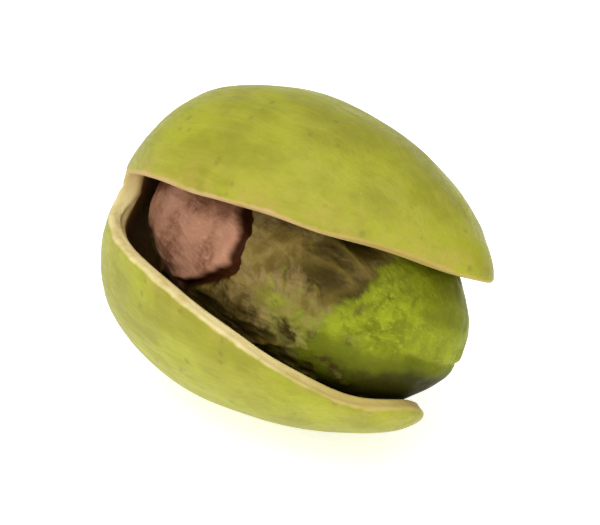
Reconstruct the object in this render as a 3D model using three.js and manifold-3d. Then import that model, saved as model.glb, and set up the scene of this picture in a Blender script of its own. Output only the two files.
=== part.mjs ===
// A roasted pistachio in its shell, in millimetres.
//
// The shell is one woody piece that has split along its suture. Its two valves gape towards the tip and are
// still joined at the stem end. The kernel lies loose between them. The nut lies on the belly of its lower
// valve, rolled so that the near side of its mouth looks up.
//
// The nut is first made in its own frame: +X from the stem end to the tip, Y across the suture plane, and Z
// through the two valves. A group then turns it to the way it lies, with +Z up.

import * as THREE from "three";
import { mergeVertices } from "three/addons/utils/BufferGeometryUtils.js";
import Module from "manifold-3d";

const degrees = THREE.MathUtils.degToRad;

// The shell, as it was before it split. The tapers say how much wider than the middle it is towards the stem
// end, and how much slimmer towards the tip.
const SHELL_LENGTH = 20.4; // without the beak
const SHELL_WIDTH = 12.9;
const SHELL_TAPER = 0.16;
const UPPER_DEPTH = 6.1; // from the suture to the back of the valve
const LOWER_DEPTH = 5.7;
const LOWER_DEPTH_TAPER = 0.32;
const BEAK_LENGTH = 1; // the small point at the tip, which stayed with the upper valve
const BEAK_START = 0.86; // as a share of the way from the middle of the shell to its tip
const WALL = 1;

// The split.
const VALVE_LEAN = degrees(7.3); // how far each valve has swung away from the suture plane
const HINGE_LENGTH = 4; // the stretch from the stem end over which the valves bend
const STEM_STEP = 0.66; // how far each valve has also moved straight out
const STEM_STEP_LENGTH = 1.5;
const UPPER_RIM_BOW = 0.2; // how far the rim bows out over the middle of the mouth
const LOWER_RIM_BOW = 1;
const LOWER_RIM_SLANT = 0.45; // how much more than that it bows out towards the tip
const JOINED_LENGTH = 0.95; // the stretch at the stem end where the two valves are still one
const MOUTH_END_LENGTH = 0.8; // the stretch over which the round end of the mouth opens

// The kernel.
const KERNEL_LENGTH = 19.3;
const KERNEL_WIDTH = 9.8;
const KERNEL_ABOVE = 5.3; // from its widest line to its top
const KERNEL_BELOW = 5.1;
const KERNEL_TAPER = -0.04; // a little fuller towards the tip
const KERNEL_SHIFT = 0.85; // from the middle of the shell towards the tip
const KERNEL_SINK = degrees(2.5); // how far its tip end leans down into the lower valve

// How the nut lies.
const ROLL = degrees(-30.8); // lifts the near edge of the suture
const REST_CUT = 0.22; // depth of the small flat on the belly, where the nut rests

// Mesh steps around and along each ovoid, and along the mouth.
const SHELL_STEPS = [48, 32];
const KERNEL_STEPS = [32, 22];
const MOUTH_STEPS = 24;

const STEM_END = -SHELL_LENGTH / 2;
const wasm = await Module();
wasm.setup();

/** Moves every vertex of a geometry by a function that changes the point it is given. */
function reshape(geometry, change) {
  const position = geometry.getAttribute("position");
  const point = new THREE.Vector3();
  for (let i = 0; i < position.count; i++) {
    change(point.fromBufferAttribute(position, i));
    position.setXYZ(i, point.x, point.y, point.z);
  }
  return geometry;
}

/** A closed ovoid around X. A positive taper makes it slimmer towards +X. */
function ovoid({ length, width, above, below, taper, belowTaper = taper, steps }) {
  const ball = new THREE.SphereGeometry(1, ...steps).rotateZ(-Math.PI / 2);
  return reshape(ball, (p) => {
    p.y *= (width / 2) * (1 - taper * p.x);
    p.z *= p.z > 0 ? above * (1 - taper * p.x) : below * (1 - belowTaper * p.x);
    p.x *= length / 2;
  });
}

/** Draws the tip of the upper half of an ovoid out into a small beak. */
function addBeak(geometry) {
  const start = (BEAK_START * SHELL_LENGTH) / 2;
  return reshape(geometry, (p) => {
    const drawn = Math.max((p.x - start) / (SHELL_LENGTH / 2 - start), 0);
    p.x += p.z > 0 ? BEAK_LENGTH * drawn * drawn : 0;
  });
}

/** How far a valve leans at a distance from the stem end. */
function leanAt(along) {
  return VALVE_LEAN * THREE.MathUtils.smoothstep(along, 0, HINGE_LENGTH);
}

/** Where the upper valve's rim has moved to, in X and Z, from a place along the closed suture. */
function rimAt(along) {
  const lean = leanAt(along);
  const stepped = 1 - Math.min(along / STEM_STEP_LENGTH, 1);
  const step = STEM_STEP * Math.sqrt(1 - stepped * stepped);
  return new THREE.Vector2(STEM_END + along * Math.cos(lean), along * Math.sin(lean) + step);
}

/** Swings the upper and lower half of a closed ovoid away from the suture plane, as the valves have. */
function swing(geometry) {
  return reshape(geometry, (p) => {
    const along = Math.max(p.x - STEM_END, 0);
    const side = Math.abs(p.z) < 1e-6 ? 0 : Math.sign(p.z);
    const rise = Math.abs(p.z);
    const lean = leanAt(along);
    const rim = rimAt(along);
    p.x = rim.x - rise * Math.sin(lean);
    p.z = side * (rim.y + rise * Math.cos(lean));
  });
}

/** One edge of the mouth, from its end at the stem to beyond the tip, bowed out as that valve's rim is. */
function mouthEdge(bow, slant) {
  const start = JOINED_LENGTH + MOUTH_END_LENGTH;
  const reach = SHELL_LENGTH + 4 * BEAK_LENGTH;
  const edge = [];
  for (let i = 0; i <= MOUTH_STEPS; i++) {
    const along = start + ((reach - start) * i) / MOUTH_STEPS;
    const middle = (2 * along) / SHELL_LENGTH - 1;
    const rim = rimAt(along);
    rim.y += (bow + slant * middle) * Math.max(1 - middle ** 8, 0);
    edge.push(rim);
  }
  return edge;
}

/** The mouth between the valves: a slot across the whole width, with a round end, that cuts the rims. */
function mouth() {
  const upper = mouthEdge(UPPER_RIM_BOW, 0);
  const lower = mouthEdge(LOWER_RIM_BOW, LOWER_RIM_SLANT);
  const start = upper[0];
  const half = (start.y + lower[0].y) / 2;
  const [from, to] = [Math.PI / 2, (3 * Math.PI) / 2];
  const outline = new THREE.Shape();
  outline.absellipse(start.x, start.y - half, MOUTH_END_LENGTH, half, from, to, false, 0);
  lower.forEach((p) => outline.lineTo(p.x, -p.y));
  upper.reverse().forEach((p) => outline.lineTo(p.x, p.y));
  const slot = new THREE.ExtrudeGeometry(outline, {
    depth: 2 * SHELL_WIDTH,
    bevelEnabled: false,
    curveSegments: 8,
  });
  return slot.translate(0, 0, -SHELL_WIDTH).rotateX(Math.PI / 2);
}

/** A closed geometry as a manifold-3d solid. */
function solid(geometry) {
  const bare = geometry.clone();
  bare.deleteAttribute("normal");
  bare.deleteAttribute("uv");
  const merged = mergeVertices(bare, 1e-4);
  return new wasm.Manifold(
    new wasm.Mesh({
      numProp: 3,
      vertProperties: merged.getAttribute("position").array,
      triVerts: new Uint32Array(merged.index.array),
    }),
  );
}

/** A manifold-3d solid as a three.js geometry. */
function geometryOf(made) {
  const mesh = made.getMesh();
  const geometry = new THREE.BufferGeometry();
  geometry.setAttribute("position", new THREE.BufferAttribute(mesh.vertProperties, 3));
  geometry.setIndex(new THREE.BufferAttribute(mesh.triVerts, 1));
  geometry.computeVertexNormals();
  return geometry;
}

/** The block of space below the small flat that the nut rests on, in the nut's own frame. */
function belowRest(geometry, turn) {
  const lying = geometry.clone().applyMatrix4(turn);
  lying.computeBoundingBox();
  const size = 3 * SHELL_LENGTH;
  const block = new THREE.BoxGeometry(size, size, size);
  block.translate(0, 0, lying.boundingBox.min.z + REST_CUT - size / 2);
  return block.applyMatrix4(turn.clone().invert());
}

/** The shell: an outer and an inner ovoid, swung open alike, with the mouth cut through to their rims. */
function makeShell(turn) {
  const outer = ovoid({
    length: SHELL_LENGTH,
    width: SHELL_WIDTH,
    above: UPPER_DEPTH,
    below: LOWER_DEPTH,
    taper: SHELL_TAPER,
    belowTaper: LOWER_DEPTH_TAPER,
    steps: SHELL_STEPS,
  });
  const inner = ovoid({
    length: SHELL_LENGTH - 2 * WALL,
    width: SHELL_WIDTH - 2 * WALL,
    above: UPPER_DEPTH - WALL,
    below: LOWER_DEPTH - WALL,
    taper: SHELL_TAPER,
    belowTaper: LOWER_DEPTH_TAPER,
    steps: SHELL_STEPS,
  });
  const opened = solid(swing(addBeak(outer))).subtract(solid(swing(inner))).subtract(solid(mouth()));
  const rested = opened.subtract(solid(belowRest(geometryOf(opened), turn)));
  const woody = new THREE.MeshStandardMaterial({ color: 0xaba83c, roughness: 0.55, metalness: 0 });
  const mesh = new THREE.Mesh(geometryOf(rested), woody);
  mesh.name = "shell";
  return mesh;
}

/** The kernel, loose in the shell. */
function makeKernel() {
  const seed = ovoid({
    length: KERNEL_LENGTH,
    width: KERNEL_WIDTH,
    above: KERNEL_ABOVE,
    below: KERNEL_BELOW,
    taper: KERNEL_TAPER,
    steps: KERNEL_STEPS,
  });
  const skin = new THREE.MeshStandardMaterial({ color: 0x8f8440, roughness: 0.6, metalness: 0 });
  const mesh = new THREE.Mesh(geometryOf(solid(seed)), skin);
  mesh.name = "kernel";
  mesh.position.x = KERNEL_SHIFT;
  mesh.rotation.y = KERNEL_SINK;
  return mesh;
}

const nut = new THREE.Group();
nut.rotation.x = ROLL;
nut.updateMatrix();
nut.add(makeShell(nut.matrix), makeKernel());

// The origin is under the middle of the nut, on the surface that it rests on.
const pistachio = new THREE.Group();
pistachio.add(nut);
const reach = new THREE.Box3().setFromObject(pistachio, true);
const middle = reach.getCenter(new THREE.Vector3());
nut.position.set(-middle.x, -middle.y, -reach.min.z);

export default pistachio;
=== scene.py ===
"""A roasted pistachio that has split its shell, with the loose kernel showing in the mouth."""

import math

import bmesh
import bpy
from mathutils import Matrix, Vector, noise


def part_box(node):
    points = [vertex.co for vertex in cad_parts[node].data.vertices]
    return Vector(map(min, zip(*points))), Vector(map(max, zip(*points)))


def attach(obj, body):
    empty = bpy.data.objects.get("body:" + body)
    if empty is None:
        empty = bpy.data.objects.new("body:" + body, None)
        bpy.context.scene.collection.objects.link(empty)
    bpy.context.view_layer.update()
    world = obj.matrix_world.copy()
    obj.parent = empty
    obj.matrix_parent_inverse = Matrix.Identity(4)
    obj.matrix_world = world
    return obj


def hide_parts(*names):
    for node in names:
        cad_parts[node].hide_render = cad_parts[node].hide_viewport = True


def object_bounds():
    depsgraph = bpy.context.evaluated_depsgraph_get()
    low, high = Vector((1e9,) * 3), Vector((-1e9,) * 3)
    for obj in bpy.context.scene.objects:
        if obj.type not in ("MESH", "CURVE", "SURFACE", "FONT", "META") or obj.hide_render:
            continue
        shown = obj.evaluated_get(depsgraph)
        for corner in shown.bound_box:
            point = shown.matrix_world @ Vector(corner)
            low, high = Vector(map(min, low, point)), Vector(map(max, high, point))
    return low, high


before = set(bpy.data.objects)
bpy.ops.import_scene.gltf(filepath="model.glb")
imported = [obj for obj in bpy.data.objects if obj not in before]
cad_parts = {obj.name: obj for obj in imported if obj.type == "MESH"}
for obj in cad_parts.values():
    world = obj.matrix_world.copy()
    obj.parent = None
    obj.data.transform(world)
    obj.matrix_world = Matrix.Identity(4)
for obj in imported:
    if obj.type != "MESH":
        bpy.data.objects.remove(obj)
cad_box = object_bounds()


# --- The shell --------------------------------------------------------------------------------------------
# The woody wall that grew round the seed. It split along its suture as it ripened: two valves gape towards
# the tip, and a short stretch at the stem end still joins them. The small beak at the tip stayed with the
# upper valve. Sizes are in millimetres, in its own frame: +X to the tip, Z through the valves.
MM = 0.001
SHELL_LENGTH = 20.4
SHELL_WIDTH = 12.9
SHELL_TAPER = 0.16
UPPER_DEPTH = 6.1
LOWER_DEPTH = 5.7
LOWER_DEPTH_TAPER = 0.32
BEAK_LENGTH = 1.0
BEAK_START = 0.86
WALL = 1.0
ROLL = math.radians(-30.8)

# How the valves have swung apart, and where they are still joined.
VALVE_LEAN = math.radians(7.3)
HINGE_LENGTH = 4.0
STEM_STEP = 0.66
STEM_STEP_LENGTH = 1.5
JOINED_LENGTH = 0.95
MOUTH_END_LENGTH = 0.8

# The rims of the mouth, which bow away from the suture, and their rounded lips.
UPPER_RIM_BOW = 0.2
LOWER_RIM_BOW = 1.0
LOWER_RIM_SLANT = 0.45
RIM_WANDER = 0.12
OUTER_LIP_RADIUS = 0.28
INNER_LIP_RADIUS = 0.42
OUTER_LIP_WIDTH = 0.45
INNER_LIP_WIDTH = 0.3
LIP_FADE = 0.5

# The relief of the outside. The groove ends at these shares of half the length, before the mouth.
SWELL_HEIGHT = 0.12
RIB_HEIGHT = 0.035
FIBRE_HEIGHT = 0.012
GROOVE_DEPTH = 0.09
GROOVE_WIDTH = 0.14
GROOVE_END = (-0.93, -0.86)
SCAR_RADIUS = 1.25
SCAR_WIDENING = 1.15
SCAR_RIM_HEIGHT = 0.12
SCAR_RIM_WIDTH = 0.24
SCAR_DEPTH = 0.2
SCAR_GRAIN = 0.05

# How finely the mesh is cut, and how its rows crowd towards the suture.
SHELL_CUTS = 71
SHELL_CROWDING = 1.4
LIP_CUTS = 3


def ease(value, start, end):
    """0 up to start, 1 from end on, and a smooth rise between."""
    share = min(max((value - start) / (end - start), 0.0), 1.0)
    return share * share * (3 - 2 * share)


def hump(value, width):
    """1 at 0, falling away smoothly to either side."""
    return math.exp(-((value / width) ** 2))


def streaked(place, along, across):
    """A place scaled so that noise read there is drawn out along X."""
    return Vector((place.x * along, place.y * across, place.z * across))


def quarter_round(share):
    """Rises from 0 to 1 as a quarter of a circle does."""
    left = 1 - min(max(share, 0.0), 1.0)
    return math.sqrt(1 - left * left)


def round_cube(cuts, crowding):
    """A unit sphere made of a cut-up cube. Its rows crowd towards Z = 0."""
    bm = bmesh.new()
    bmesh.ops.create_cube(bm, size=2)
    bmesh.ops.subdivide_edges(bm, edges=bm.edges[:], cuts=cuts, use_grid_fill=True)
    for vert in bm.verts:
        x, y, z = vert.co
        z = math.copysign(abs(z) ** crowding, z)
        vert.co = Vector(math.tan(c * math.pi / 4) for c in (x, y, z)).normalized()
    return bm


def split_suture(bm):
    """Parts the edges of the suture beyond the stretch that stays joined."""
    split_from = 2 * JOINED_LENGTH / SHELL_LENGTH - 1
    suture = [
        edge for edge in bm.edges
        if all(abs(vert.co.z) < 1e-6 and vert.co.x > split_from for vert in edge.verts)
    ]
    bmesh.ops.split_edges(bm, edges=suture)


def grown_at(point, side, inset):
    """The place on the closed shell, this far in from its outside, of a point of the unit sphere."""
    depth, taper = (UPPER_DEPTH, SHELL_TAPER) if side > 0 else (LOWER_DEPTH, LOWER_DEPTH_TAPER)
    x = (SHELL_LENGTH / 2 - inset) * point.x
    y = (SHELL_WIDTH / 2 - inset) * point.y * (1 - SHELL_TAPER * point.x)
    z = (depth - inset) * point.z * (1 - taper * point.x)
    if side > 0 and inset == 0:
        drawn = max((point.x - BEAK_START) / (1 - BEAK_START), 0.0)
        x += BEAK_LENGTH * drawn * drawn
    return Vector((x, y, z))


def from_stem(point):
    """How far along the closed shell a point of the unit sphere lies."""
    return (point.x + 1) * SHELL_LENGTH / 2


def parted_at(point):
    """0 where the suture is joined, 1 where the mouth is fully parted, with a round end between."""
    return quarter_round((from_stem(point) - JOINED_LENGTH) / MOUTH_END_LENGTH)


def rim_at(point, side):
    """How far the rim has bowed away from the suture plane at the same distance along the shell."""
    bow = UPPER_RIM_BOW if side > 0 else LOWER_RIM_BOW + LOWER_RIM_SLANT * point.x
    bow += RIM_WANDER * noise.noise(Vector((point.x * 3, 4 * side, point.y)))
    return bow * (1 - min(abs(point.x), 1.0) ** 8) * parted_at(point)


def bowed(point, side):
    """Turns a point of the unit sphere about X, away from the suture plane, so that the rim bows out."""
    across = math.hypot(point.y, point.z)
    depth, taper = (UPPER_DEPTH, SHELL_TAPER) if side > 0 else (LOWER_DEPTH, LOWER_DEPTH_TAPER)
    if across < 1e-6 or side == 0:
        return point.copy()
    start = math.asin(min(rim_at(point, side) / (depth * (1 - taper * point.x) * across), 0.95))
    turn = math.asin(min(abs(point.z) / across, 1.0))
    turn = start + turn * (1 - start / (math.pi / 2))
    return Vector((point.x, math.copysign(across * math.cos(turn), point.y), side * across * math.sin(turn)))


def swung_at(point, grown, side):
    """Where a place on the closed shell has gone to, now that the valves have swung apart."""
    along = max(grown.x + SHELL_LENGTH / 2, 0.0)
    parted = parted_at(point)
    rise = abs(grown.z)
    lean = VALVE_LEAN * ease(along, 0, HINGE_LENGTH)
    out = along * math.sin(lean) + STEM_STEP * quarter_round(along / STEM_STEP_LENGTH)
    mouth = out * parted
    shift = mouth + (out - mouth) * ease(rise, 0, 1.2)
    return Vector((
        -SHELL_LENGTH / 2 + along * math.cos(lean) - rise * math.sin(lean),
        grown.y,
        side * (shift + rise * math.cos(lean)),
    ))


def round_lip(grown, from_rim, inset):
    """How far a place near the rim is drawn into the wall, as a vector, to round the lip."""
    radius = INNER_LIP_RADIUS if inset else OUTER_LIP_RADIUS
    left = radius - min(from_rim, radius)
    drawn = radius - math.sqrt(radius * radius - left * left)
    outward = Vector((grown.x / SHELL_LENGTH ** 2, grown.y / SHELL_WIDTH ** 2, 0)).normalized()
    return outward * (drawn if inset else -drawn)


def shell_face(inset):
    """The outside of the shell, or with an inset the inside of its wall, with the mouth open."""
    bm = round_cube(SHELL_CUTS, SHELL_CROWDING)
    split_suture(bm)
    grown_layer = bm.verts.layers.float_vector.new("grown")
    lip_layer = bm.verts.layers.float.new("lip")
    inside_layer = bm.verts.layers.float.new("inside")
    bm.verts.layers.float.new("stem")
    sides = []
    for vert in bm.verts:
        above = sum(face.calc_center_median().z for face in vert.link_faces)
        sides.append(0 if abs(above) < 1e-6 else math.copysign(1, above))
    for vert, side in zip(bm.verts, sides):
        point = bowed(vert.co, side)
        grown = grown_at(point, side, inset)
        parted = parted_at(point)
        from_rim = max(abs(grown.z) - rim_at(point, side), 0.0)
        vert.co = swung_at(point, grown, side) + round_lip(grown, from_rim, inset) * parted
        vert[grown_layer] = grown
        lip = ease(from_stem(point), JOINED_LENGTH - LIP_FADE, JOINED_LENGTH)
        vert[lip_layer] = lip * (1 - ease(from_rim, 0.0, INNER_LIP_WIDTH if inset else OUTER_LIP_WIDTH))
        vert[inside_layer] = 1 if inset else 0
    return bm


def shell_relief(grown, place):
    """How far the outside of the shell stands out at a place, in millimetres."""
    swell = SWELL_HEIGHT * noise.noise(grown * 0.22)
    ribs = RIB_HEIGHT * noise.noise(streaked(grown, 0.1, 0.9) + Vector((7, 0, 0)))
    fibres = FIBRE_HEIGHT * noise.noise(streaked(grown, 0.25, 3.4))
    if place.x > 0:
        return swell + ribs + fibres
    ragged = math.hypot(place.y / SCAR_WIDENING, place.z) + 0.18 * noise.noise(place * 1.6)
    scar = SCAR_RIM_HEIGHT * hump(ragged - SCAR_RADIUS, SCAR_RIM_WIDTH)
    scar -= SCAR_DEPTH * (1 - ease(ragged, 0.35, 1.0))
    scar += SCAR_GRAIN * noise.noise(place * 4.0) * (1 - ease(ragged, 0.9, 1.6))
    return swell + ribs + fibres + scar


shell_bm = shell_face(0)

# Where the smooth outside would lie gives the turn and the shift that put the whole nut on its CAD solid.
shell_low, shell_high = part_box("shell")
roll = Matrix.Rotation(ROLL, 4, "X")
rolled = [roll @ vert.co * MM for vert in shell_bm.verts]
centre = [(min(p[axis] for p in rolled) + max(p[axis] for p in rolled)) / 2 for axis in range(2)]
lie = Matrix.Translation((
    (shell_low.x + shell_high.x) / 2 - centre[0],
    (shell_low.y + shell_high.y) / 2 - centre[1],
    shell_high.z - max(p.z for p in rolled),
)) @ roll @ Matrix.Scale(MM, 4)

shell_bm.normal_update()
grown_layer = shell_bm.verts.layers.float_vector["grown"]
stem_layer = shell_bm.verts.layers.float["stem"]
places = []
for vert in shell_bm.verts:
    grown = vert[grown_layer]
    joined = 1 - ease(grown.x * 2 / SHELL_LENGTH, *GROOVE_END)
    groove = GROOVE_DEPTH * hump(vert.co.z, GROOVE_WIDTH) * joined
    places.append(vert.co + vert.normal * (shell_relief(grown, vert.co) - groove))
    if vert.co.x < 0:
        vert[stem_layer] = 1 - ease(math.hypot(vert.co.y / SCAR_WIDENING, vert.co.z), 0.9, 1.9)
for vert, place in zip(shell_bm.verts, places):
    vert.co = place

inner_bm = shell_face(WALL)
bmesh.ops.reverse_faces(inner_bm, faces=inner_bm.faces)
inner_mesh = bpy.data.meshes.new("inner_wall")
inner_bm.to_mesh(inner_mesh)
inner_bm.free()
outer_count = len(shell_bm.verts)
shell_bm.from_mesh(inner_mesh)
bpy.data.meshes.remove(inner_mesh)

# The lip: the outer rim is drawn across to the inner one, which has the same vertices in the same order.
shell_bm.verts.index_update()
outer_rim = [edge for edge in shell_bm.edges if edge.is_boundary and edge.verts[0].index < outer_count]
bmesh.ops.extrude_edge_only(shell_bm, edges=outer_rim)
shell_bm.verts.ensure_lookup_table()
shell_bm.verts.index_update()
welds = {}
for vert in shell_bm.verts[2 * outer_count:]:
    near = min(edge.other_vert(vert).index for edge in vert.link_edges)
    welds[vert] = shell_bm.verts[near + outer_count]
bmesh.ops.weld_verts(shell_bm, targetmap=welds)
shell_bm.verts.index_update()
across = [
    edge for edge in shell_bm.edges
    if (edge.verts[0].index < outer_count) != (edge.verts[1].index < outer_count)
]
bmesh.ops.subdivide_edges(shell_bm, edges=across, cuts=LIP_CUTS, use_grid_fill=True)
bmesh.ops.transform(shell_bm, matrix=lie, verts=shell_bm.verts)

# The belly is flat where the nut rests.
for vert in shell_bm.verts:
    vert.co.z = max(vert.co.z, 0.0)
for face in shell_bm.faces:
    face.smooth = True
shell_mesh = bpy.data.meshes.new("split_shell")
shell_bm.to_mesh(shell_mesh)
shell_bm.free()
shell = bpy.data.objects.new("split_shell", shell_mesh)
bpy.context.scene.collection.objects.link(shell)
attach(shell, "root")
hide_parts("shell")


# The finish of the shell: a smooth woody wall, lime to olive outside with fine lengthwise fibres, cream along
# the lip, with painted shade on the upper lip; matt inside, buff at the rims and painted brown further in as
# shade; and with a brown scar where the stem was.
def add_node(tree, kind, inputs=(), **settings):
    """Adds a shader node. Each input is a plain value, or another node's socket to link."""
    node = tree.nodes.new("ShaderNode" + kind)
    for name, value in settings.items():
        setattr(node, name, value)
    for key, value in dict(inputs).items():
        if isinstance(value, bpy.types.NodeSocket):
            tree.links.new(value, node.inputs[key])
        else:
            node.inputs[key].default_value = value
    return node


def maths(tree, operation, first, second=0.0, third=0.0):
    """One step of arithmetic on values."""
    return add_node(tree, "Math", {0: first, 1: second, 2: third}, operation=operation).outputs[0]


def spread(tree, value, low, high, to_low=0.0, to_high=1.0):
    """Stretches a value between two limits, smoothly and without passing them."""
    inputs = {"Value": value, "From Min": low, "From Max": high, "To Min": to_low, "To Max": to_high}
    return add_node(tree, "MapRange", inputs, interpolation_type="SMOOTHSTEP").outputs[0]


def blend_colour(tree, share, first, second):
    """Mixes two colours. A colour is three numbers, or a socket."""
    first, second = ((*c, 1) if isinstance(c, tuple) else c for c in (first, second))
    inputs = {0: share, 6: first, 7: second}
    return add_node(tree, "Mix", inputs, data_type="RGBA", clamp_factor=True).outputs[2]


def roughened(tree, value, cloud, amount):
    """A value shifted up and down by a cloudy one that lies around 0.5."""
    return maths(tree, "MULTIPLY_ADD", maths(tree, "SUBTRACT", cloud, 0.5), amount, value)


def weighed(tree, *parts):
    """Adds up values, each times its weight."""
    total = 0.0
    for value, weight in parts:
        total = maths(tree, "MULTIPLY_ADD", value, weight, total)
    return total


def grain(tree, vector, scale, detail=3.0, roughness=0.55, distortion=0.0):
    """A cloudy value, around 0.5."""
    inputs = {"Vector": vector, "Scale": scale, "Detail": detail}
    inputs.update({"Roughness": roughness, "Distortion": distortion})
    return add_node(tree, "TexNoise", inputs).outputs[0]


def attribute(tree, name, output="Fac"):
    """A value or vector that the mesh carries at its vertices."""
    return add_node(tree, "Attribute", attribute_name=name).outputs[output]


def node_group(name, inputs, outputs):
    """An empty node group with these sockets, and its input and output nodes."""
    group = bpy.data.node_groups.new(name, "ShaderNodeTree")
    for socket, (kind, value) in inputs.items():
        made = group.interface.new_socket(socket, in_out="INPUT", socket_type="NodeSocket" + kind)
        if value is not None:
            made.default_value = value
    for socket in outputs:
        group.interface.new_socket(socket, in_out="OUTPUT", socket_type="NodeSocketFloat")
    return group, group.nodes.new("NodeGroupInput").outputs, group.nodes.new("NodeGroupOutput").inputs


def place_group(tree, group, inputs):
    """Puts a node group into a material, with its own values."""
    return add_node(tree, "Group", inputs, node_tree=group).outputs


def new_material(name):
    """A material with its Principled shader, and the tree to build it in."""
    material = bpy.data.materials.new(name)
    material.use_nodes = True
    return material, material.node_tree, material.node_tree.nodes["Principled BSDF"].inputs


def relief_normal(tree, height, distance):
    """The normal of a fine relief, this many millimetres deep."""
    inputs = {"Height": height, "Distance": distance * MM, "Strength": 1.0}
    return add_node(tree, "Bump", inputs).outputs[0]


# Lengthwise fibres: streaks that run from the stem end to the tip, drawn out along X of the grown place.
fibres_group, given, result = node_group(
    "lengthwise_fibres",
    {
        "Place": ("Vector", None),
        "Across": ("Float", 1.0),
        "Drawn Out": ("Float", 0.1),
        "Wander": ("Float", 0.3),
    },
    ["Fibre"],
)
t = fibres_group
wander = grain(t, given["Place"], 0.35, 2.0)
parts = add_node(t, "SeparateXYZ", {0: given["Place"]}).outputs
bent = maths(t, "MULTIPLY", maths(t, "SUBTRACT", wander, 0.5), given["Wander"])
drawn_place = add_node(t, "CombineXYZ", {
    0: maths(t, "MULTIPLY", parts[0], given["Drawn Out"]),
    1: maths(t, "ADD", parts[1], bent),
    2: maths(t, "ADD", parts[2], bent),
}).outputs[0]
t.links.new(grain(t, drawn_place, given["Across"], 4.0, 0.6), result["Fibre"])

# Specks: small scattered spots, more or fewer of them as the cover says.
specks_group, given, result = node_group(
    "scattered_specks",
    {"Place": ("Vector", None), "Per Millimetre": ("Float", 1.0), "Cover": ("Float", 0.2)},
    ["Speck"],
)
t = specks_group
cell = add_node(t, "TexVoronoi", {"Vector": given["Place"], "Scale": given["Per Millimetre"]})
chance = add_node(t, "SeparateColor", {0: cell.outputs["Color"]}).outputs[0]
chosen = maths(t, "LESS_THAN", chance, given["Cover"])
near = spread(t, cell.outputs["Distance"], 0.34, 0.12)
t.links.new(maths(t, "MULTIPLY", chosen, near), result["Speck"])

shell_finish, t, shader = new_material("woody_shell")
grown = attribute(t, "grown", "Vector")
lip, inside, stem = (attribute(t, name) for name in ("lip", "inside", "stem"))
coarse = place_group(t, fibres_group, {"Place": grown, "Across": 1.1, "Drawn Out": 0.09, "Wander": 1.2})
fine = place_group(t, fibres_group, {"Place": grown, "Across": 5.5, "Drawn Out": 0.05, "Wander": 0.6})
specks = place_group(t, specks_group, {"Place": grown, "Per Millimetre": 1.5, "Cover": 0.16})
clouds = grain(t, grown, 0.32, 4.0, 0.6)
blotch = grain(t, grown, 0.9, 4.0, 0.6)

# Patterns follow the place where the shell grew, before its valves swung apart.
LIME = (0.345, 0.352, 0.019)
OLIVE = (0.262, 0.255, 0.016)
PALE = (0.42, 0.40, 0.05)
TAN = (0.42, 0.315, 0.06)
CREAM = (0.74, 0.62, 0.29)
# This sandy colour is painted shade on the upper lip, which faces down.
SHADED_LIP_SAND = (0.53, 0.36, 0.145)
BUFF = (0.24, 0.155, 0.05)
# This brown is painted shade deep inside the valves.
INSIDE_SHADE_BROWN = (0.14, 0.065, 0.012)
SCAR = (0.17, 0.10, 0.03)
SPECK = (0.16, 0.125, 0.02)
parts = add_node(t, "SeparateXYZ", {0: grown}).outputs
from_suture = maths(t, "ABSOLUTE", parts[2])

# The outside: clouds of lime and olive, paler and darker fibres, a tan bloom in patches towards the rims,
# a few specks, and the brown scar of the stem.
outside = blend_colour(t, spread(t, clouds, 0.35, 0.68), OLIVE, LIME)
outside = blend_colour(t, spread(t, coarse["Fibre"], 0.42, 0.66, 0.0, 0.35), outside, PALE)
outside = blend_colour(t, spread(t, fine["Fibre"], 0.52, 0.72, 0.0, 0.30), outside, OLIVE)
bloom = maths(t, "MULTIPLY", spread(t, from_suture, 2.6, 0.2), spread(t, blotch, 0.42, 0.66))
outside = blend_colour(t, maths(t, "MULTIPLY", bloom, 0.55), outside, TAN)
outside = blend_colour(t, maths(t, "MULTIPLY", specks["Speck"], 0.35), outside, SPECK)
ragged_stem = spread(t, roughened(t, stem, blotch, 0.9), 0.3, 0.8)
outside = blend_colour(t, ragged_stem, outside, SCAR)

# The inside is buff at the rims, and painted shade turns it brown further in. The lip is cream below and
# painted sandy above, as shade on the upper lip, which faces down; it has patches of tan and more tan towards
# the tip.
shaded_wall_inside = blend_colour(t, spread(t, from_suture, 0.3, 2.2), BUFF, INSIDE_SHADE_BROWN)
colour = blend_colour(t, inside, outside, shaded_wall_inside)
on_lip = spread(t, roughened(t, lip, blotch, 0.9), 0.4, 0.95)
lip_colour = blend_colour(t, spread(t, parts[2], -0.3, 0.3), CREAM, SHADED_LIP_SAND)
lip_colour = blend_colour(t, spread(t, grain(t, grown, 1.2), 0.4, 0.75, 0.0, 0.5), lip_colour, TAN)
lip_colour = blend_colour(t, spread(t, parts[0], 2.5, 8.0, 0.0, 0.75), lip_colour, TAN)
colour = blend_colour(t, on_lip, colour, lip_colour)
t.links.new(colour, shader["Base Color"])

# Satin outside, duller on the lip and matt inside, with fibres, pores and specks as fine relief.
rough = spread(t, fine["Fibre"], 0.3, 0.7, 0.38, 0.56)
rough = maths(t, "MULTIPLY_ADD", on_lip, 0.2, rough)
rough = maths(t, "MAXIMUM", rough, maths(t, "MULTIPLY", inside, 0.95))
t.links.new(rough, shader["Roughness"])
pores = grain(t, grown, 9.0)
height = weighed(t, (coarse["Fibre"], 0.9), (fine["Fibre"], 0.45), (pores, 0.16), (specks["Speck"], -0.2))
t.links.new(relief_normal(t, height, 0.09), shader["Normal"])
shader["Specular IOR Level"].default_value = 0.2
shell.data.materials.append(shell_finish)


# --- The kernel -------------------------------------------------------------------------------------------
# The seed, loose in the shell. It is a fat bean of two seed leaves in a thin papery skin: pinkish brown at
# the stem end, brown and wrinkled over the middle, and rubbed off at the tip, where the green seed shows. The
# skin has cracked across at the edge of the pinkish part.
KERNEL_LENGTH = 19.3
KERNEL_WIDTH = 9.8
KERNEL_ABOVE = 5.3
KERNEL_BELOW = 5.1
KERNEL_TAPER = -0.04
KERNEL_SHIFT = 0.85
KERNEL_SINK = math.radians(2.5)
KERNEL_CUTS = 89

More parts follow.
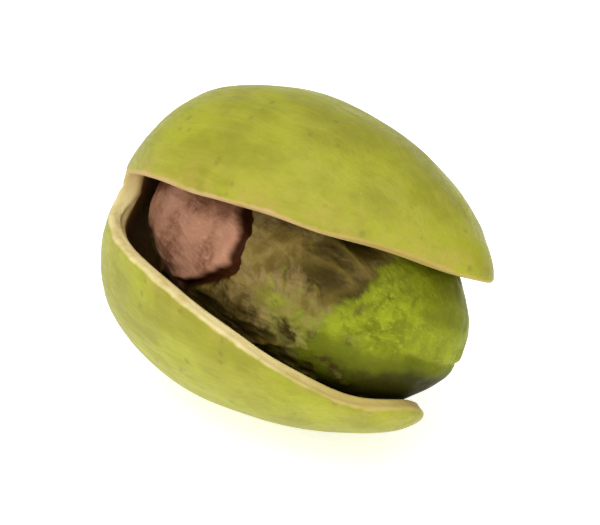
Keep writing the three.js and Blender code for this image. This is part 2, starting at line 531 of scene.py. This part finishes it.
# Its relief: the thickness of the skin, the cross crack, the folds, and the seam of the two seed leaves.
SKIN = 0.09
CRACK_TURN = 2
CRACK_WIDTH = 0.32
CRACK_DEPTH = 0.6
CRACK_RIM_HEIGHT = 0.16
FOLD_HEIGHT = 0.27
SMALL_FOLD_HEIGHT = 0.11
LOBE_SWELL = 0.22
KERNEL_SWELL = 0.2
SEAM_WIDTH = 0.13
SEAM_DEPTH = 0.1


def crack_x(turn):
    """How far along X the cross crack is, at a turn in degrees from the front towards the top."""
    return -0.15 - 0.9 * (min(abs(turn - CRACK_TURN), 40) / 20) ** 2


def kernel_place(point):
    """A point of the unit sphere on the smooth kernel."""
    girth = 1 - KERNEL_TAPER * point.x
    return Vector((
        point.x * KERNEL_LENGTH / 2,
        point.y * girth * KERNEL_WIDTH / 2,
        point.z * girth * (KERNEL_ABOVE if point.z > 0 else KERNEL_BELOW),
    ))


def skin_cover(place, turn):
    """1 under the skin and 0 on bare seed, with a ragged edge and a few scraps beyond it."""
    ragged = noise.fractal(streaked(place, 0.25, 0.55), 0.6, 2.1, 5)
    edge = 5.6 + 1.0 * ragged + 0.04 * min(max(turn, -25), 15)
    cover = 1 - ease(place.x, edge - 0.3, edge + 0.3)
    scraps = ease(noise.fractal(place * 0.75 + Vector((3, 1, 9)), 0.7, 2.0, 4), 0.32, 0.42)
    worn = ease(noise.fractal(place * 0.6 + Vector((11, 4, 2)), 0.7, 2.0, 4), 0.42, 0.5)
    return max(cover * (1 - 0.6 * worn * ease(place.x, 1.0, 3.0)), scraps * (1 - ease(place.x, 6.0, 7.5)))


def wrinkle(place, along, across, offset):
    """Sharp-backed folds, drawn out along X, from 0 to 1."""
    value = noise.noise(streaked(place, along, across) + Vector((offset, 0, 0)))
    return (1 - min(abs(value) * 2.4, 1.0)) ** 2


kernel_bm = round_cube(KERNEL_CUTS, 1.0)
grown_layer = kernel_bm.verts.layers.float_vector.new("grown")
skin_layer = kernel_bm.verts.layers.float.new("skin")
lobe_layer = kernel_bm.verts.layers.float.new("lobe")
crack_layer = kernel_bm.verts.layers.float.new("crack")
fold_layer = kernel_bm.verts.layers.float.new("fold")
for vert in kernel_bm.verts:
    vert.co = kernel_place(vert.co)
kernel_bm.normal_update()

# Each vertex rises by the skin and its folds, and sinks into the crack and the seam. What lies at the vertex
# is written on it for the material.
places = []
for vert in kernel_bm.verts:
    place = vert.co.copy()
    turn = math.degrees(math.atan2(place.z, -place.y))
    front = 1 - ease(abs(turn - CRACK_TURN), 28, 60)
    wander = 0.35 * noise.noise(place * 0.9) + 0.12 * noise.noise(place * 2.6)
    from_crack = place.x - crack_x(turn) + wander
    crack = front * hump(from_crack, CRACK_WIDTH)
    lobe = front * (1 - ease(from_crack, -0.25, 0.0))
    skin = skin_cover(place, math.degrees(math.atan2(place.z, abs(place.y) + 0.5)))
    middle = skin * (1 - lobe)
    fold = wrinkle(place, 0.2, 0.8, 0.0)
    small_fold = wrinkle(place, 0.5, 1.9, 5.0)
    rise = SKIN * skin
    rise += middle * (FOLD_HEIGHT * (fold - 0.4) + SMALL_FOLD_HEIGHT * (small_fold - 0.4))
    rise += lobe * (0.05 * (small_fold - 0.4) + LOBE_SWELL * noise.noise(place * 0.5))
    rise += CRACK_RIM_HEIGHT * front * hump(from_crack + 0.55, 0.4)
    rise -= CRACK_DEPTH * crack
    rise += (1 - skin) * 0.05 * noise.noise(streaked(place, 0.5, 1.8))
    seam = hump(place.z + 0.5 + 0.2 * noise.noise(place * 0.4), SEAM_WIDTH) * ease(place.x, 7.0, 8.6)
    rise -= SEAM_DEPTH * seam
    rise += KERNEL_SWELL * noise.noise(place * 0.28 + Vector((5, 5, 5)))
    places.append(place + vert.normal * rise)
    vert[grown_layer] = place
    vert[skin_layer] = skin
    vert[lobe_layer] = lobe
    vert[crack_layer] = max(crack, seam * 0.15)
    vert[fold_layer] = middle * fold
for vert, place in zip(kernel_bm.verts, places):
    vert.co = place

# The stem end stands a little higher than the tip, and the kernel lies towards the tip.
sunk = Matrix.Translation((KERNEL_SHIFT, 0, 0)) @ Matrix.Rotation(KERNEL_SINK, 4, "Y")
bmesh.ops.transform(kernel_bm, matrix=lie @ sunk, verts=kernel_bm.verts)
for face in kernel_bm.faces:
    face.smooth = True
kernel_mesh = bpy.data.meshes.new("loose_kernel")
kernel_bm.to_mesh(kernel_mesh)
kernel_bm.free()
kernel = bpy.data.objects.new("loose_kernel", kernel_mesh)
bpy.context.scene.collection.objects.link(kernel)
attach(kernel, "root")
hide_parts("kernel")

# The finish of the kernel: dull papery skin, and the oily green seed where the skin is gone.
PINK_SKIN = (0.41, 0.20, 0.12)
PINK_PALE = (0.54, 0.33, 0.225)
RED_SKIN = (0.17, 0.062, 0.026)
TAN_SKIN = (0.25, 0.175, 0.06)
BROWN_SKIN = (0.115, 0.075, 0.014)
# This near-black is used for dark patches of skin and for painted shade.
DARK_SKIN_AND_SHADE = (0.03, 0.019, 0.001)
FOLD_SKIN = (0.20, 0.145, 0.022)
OLIVE_SKIN = (0.235, 0.225, 0.045)
SEED_GREEN = (0.28, 0.32, 0.011)
# This dark green is used for the seed's darker clouds and for painted shade.
SEED_MOTTLE_AND_SHADE = (0.115, 0.13, 0.004)
SEED_PALE = (0.38, 0.42, 0.04)
# This near-black green is painted shade under the kernel.
SEED_UNDER_SHADE = (0.028, 0.027, 0.001)
# This near-black red-brown is painted shade in the crack and the seam.
CRACK_SHADE = (0.05, 0.013, 0.002)
kernel_finish, t, shader = new_material("seed_skin")
grown = attribute(t, "grown", "Vector")
skin, lobe, crack, fold = (attribute(t, name) for name in ("skin", "lobe", "crack", "fold"))
veins = place_group(t, fibres_group, {"Place": grown, "Across": 1.5, "Drawn Out": 0.3, "Wander": 1.6})
fine = place_group(t, fibres_group, {"Place": grown, "Across": 6.0, "Drawn Out": 0.22, "Wander": 0.8})
clouds = grain(t, grown, 0.5, 5.0, 0.65)
blotch = grain(t, grown, 1.1, 5.0, 0.62, 0.6)
parts = add_node(t, "SeparateXYZ", {0: grown}).outputs
turn = maths(t, "ARCTAN2", parts[2], maths(t, "ABSOLUTE", parts[1]))
rough_turn = roughened(t, turn, clouds, 1.4)
rough_x = roughened(t, parts[0], blotch, 3.5)

# The skin: pinkish over the stem end and redder at its top, tan and brown over the middle, and thin enough
# to show some green towards the tip. Its dark patches along the top are partly painted shade under the upper
# valve, and its underside is painted dark as shade.
pink = blend_colour(t, spread(t, clouds, 0.45, 0.68, 0.0, 0.8), PINK_SKIN, RED_SKIN)
pink = blend_colour(t, spread(t, fine["Fibre"], 0.5, 0.75, 0.0, 0.5), pink, PINK_PALE)
pink = blend_colour(t, spread(t, rough_turn, -0.02, 0.3, 0.0, 0.75), pink, RED_SKIN)
brown = blend_colour(t, spread(t, blotch, 0.34, 0.66), TAN_SKIN, BROWN_SKIN)
thin = maths(t, "MULTIPLY", spread(t, rough_x, 0.8, 4.0), spread(t, rough_turn, 0.1, -0.25))
brown = blend_colour(t, thin, brown, OLIVE_SKIN)
# Dark patches along the top, partly painted shade under the upper valve, and painted shade underneath.
dark_patches_and_shade = maths(t, "MULTIPLY", spread(t, rough_x, 1.8, 3.6), spread(t, rough_turn, 0.0, 0.25))
dark_patches_and_shade = maths(t, "MAXIMUM", dark_patches_and_shade, spread(t, rough_turn, -0.32, -0.52))
dark_patches_and_shade = maths(t, "MULTIPLY", dark_patches_and_shade, spread(t, veins["Fibre"], 0.62, 0.42, 0.62, 0.97))
brown = blend_colour(t, dark_patches_and_shade, brown, DARK_SKIN_AND_SHADE)
brown = blend_colour(t, maths(t, "MULTIPLY", fold, 0.4), brown, FOLD_SKIN)
skin_colour = blend_colour(t, lobe, brown, pink)

# Which way a place faces: 1 on the top of the kernel, 0 at its sides and -1 underneath, with a ragged change.
along = maths(t, "DIVIDE", parts[0], KERNEL_LENGTH / 2)
thickness = maths(t, "SUBTRACT", 1.0, maths(t, "MULTIPLY", along, along))
girth = maths(t, "SQRT", maths(t, "MAXIMUM", thickness, 0.12))
upward = maths(t, "DIVIDE", parts[2], maths(t, "MULTIPLY", girth, (KERNEL_ABOVE + KERNEL_BELOW) / 2))
upward = roughened(t, upward, clouds, 0.7)

# The bare seed: green, with darker clouds and fine paler fibres. It is paler at the tip and darker next to
# the skin. On top it is darkened as painted shade under the upper valve, and underneath as painted shade that
# turns near black at the bottom.
seed = blend_colour(t, spread(t, blotch, 0.32, 0.7), SEED_GREEN, SEED_MOTTLE_AND_SHADE)
seed = blend_colour(t, spread(t, fine["Fibre"], 0.5, 0.72, 0.0, 0.5), seed, SEED_PALE)
seed = blend_colour(t, spread(t, rough_x, 8.0, 10.0, 0.0, 0.35), seed, SEED_PALE)
# Painted shade underneath, near black at the bottom.
seed = blend_colour(t, spread(t, upward, -0.1, -0.5), seed, SEED_MOTTLE_AND_SHADE)
seed = blend_colour(t, spread(t, upward, -0.42, -0.9), seed, SEED_UNDER_SHADE)
near_skin = maths(t, "MULTIPLY", spread(t, rough_x, 7.4, 5.2), spread(t, upward, -0.15, 0.2))
seed = blend_colour(t, maths(t, "MULTIPLY", near_skin, 0.75), seed, SEED_MOTTLE_AND_SHADE)
# Painted shade on top, under the upper valve.
seed = blend_colour(t, spread(t, upward, 0.4, 0.8, 0.0, 0.5), seed, SEED_MOTTLE_AND_SHADE)

# Skin over seed, the crack and the seam painted dark as the shade in them, and a dull surface with fine
# wrinkles and pores.
colour = blend_colour(t, skin, seed, skin_colour)
colour = blend_colour(t, spread(t, crack, 0.1, 0.6), colour, CRACK_SHADE)
t.links.new(colour, shader["Base Color"])
t.links.new(spread(t, blotch, 0.3, 0.7, 0.42, 0.68), shader["Roughness"])
shader["Specular IOR Level"].default_value = 0.08
height = weighed(t, (veins["Fibre"], 0.8), (fine["Fibre"], 0.4), (grain(t, grown, 8.0), 0.25))
t.links.new(relief_normal(t, height, 0.1), shader["Normal"])
kernel.data.materials.append(kernel_finish)


# --- The floor, the lights and the camera -----------------------------------------------------------------
# The nut lies on a pale matt floor in a white room, under a broad soft light from above and a weak one from
# the front. The floor gives off some light of its own, so it stays almost as white as the room. The camera
# looks down from the right of the front, with a long lens that hardly foreshortens.
FLOOR_REACH = 3.0
CAMERA_AZIMUTH = 46.2
CAMERA_ELEVATION = 30.3
LENS = 300
VIEW_WIDTH = 28.5
floor_bm = bmesh.new()
bmesh.ops.create_grid(floor_bm, x_segments=1, y_segments=1, size=FLOOR_REACH)
floor_mesh = bpy.data.meshes.new("floor")
floor_bm.to_mesh(floor_mesh)
floor_bm.free()
floor = bpy.data.objects.new("floor", floor_mesh)
bpy.context.scene.collection.objects.link(floor)
floor_finish, t, shader = new_material("pale_floor")
shader["Base Color"].default_value = (0.86, 0.86, 0.85, 1)
shader["Roughness"].default_value = 0.6
shader["Emission Color"].default_value = (1, 1, 0.98, 1)
shader["Emission Strength"].default_value = 0.65
floor.data.materials.append(floor_finish)

world = bpy.data.worlds.new("studio")
world.use_nodes = True
background = world.node_tree.nodes["Background"].inputs
background["Color"].default_value = (1, 1, 1, 1)
background["Strength"].default_value = 0.45
bpy.context.scene.world = world
bpy.context.scene.view_settings.view_transform = "Standard"


def towards(azimuth, elevation):
    """The way to a place this many degrees round from the front, and this many up."""
    round_by, up_by = math.radians(azimuth), math.radians(elevation)
    return Vector((
        math.sin(round_by) * math.cos(up_by),
        -math.cos(round_by) * math.cos(up_by),
        math.sin(up_by),
    ))


def set_up(name, data, target, way, distance):
    """Stands a light or a camera this far from a target, looking at it."""
    made = bpy.data.objects.new(name, data)
    made.location = target + way * distance
    made.rotation_euler = way.to_track_quat("Z", "Y").to_euler()
    bpy.context.scene.collection.objects.link(made)
    return made


def soft_light(name, way, distance, width, power):
    """A round area light that shines on the nut."""
    data = bpy.data.lights.new(name, "AREA")
    data.shape = "DISK"
    data.size = width
    data.energy = power
    set_up(name, data, Vector((0, 0, 0)), way, distance)


soft_light("softbox", towards(10, 75), distance=0.55, width=0.9, power=3.4)
soft_light("fill", towards(5, 22), distance=0.5, width=0.4, power=0.45)

camera_data = bpy.data.cameras.new("camera")
camera_data.lens = LENS
camera_data.clip_start = 0.01
camera_way = towards(CAMERA_AZIMUTH, CAMERA_ELEVATION)
camera_distance = VIEW_WIDTH * MM * LENS / camera_data.sensor_width
middle = (cad_box[0] + cad_box[1]) / 2
bpy.context.scene.camera = set_up("camera", camera_data, middle, camera_way, camera_distance)
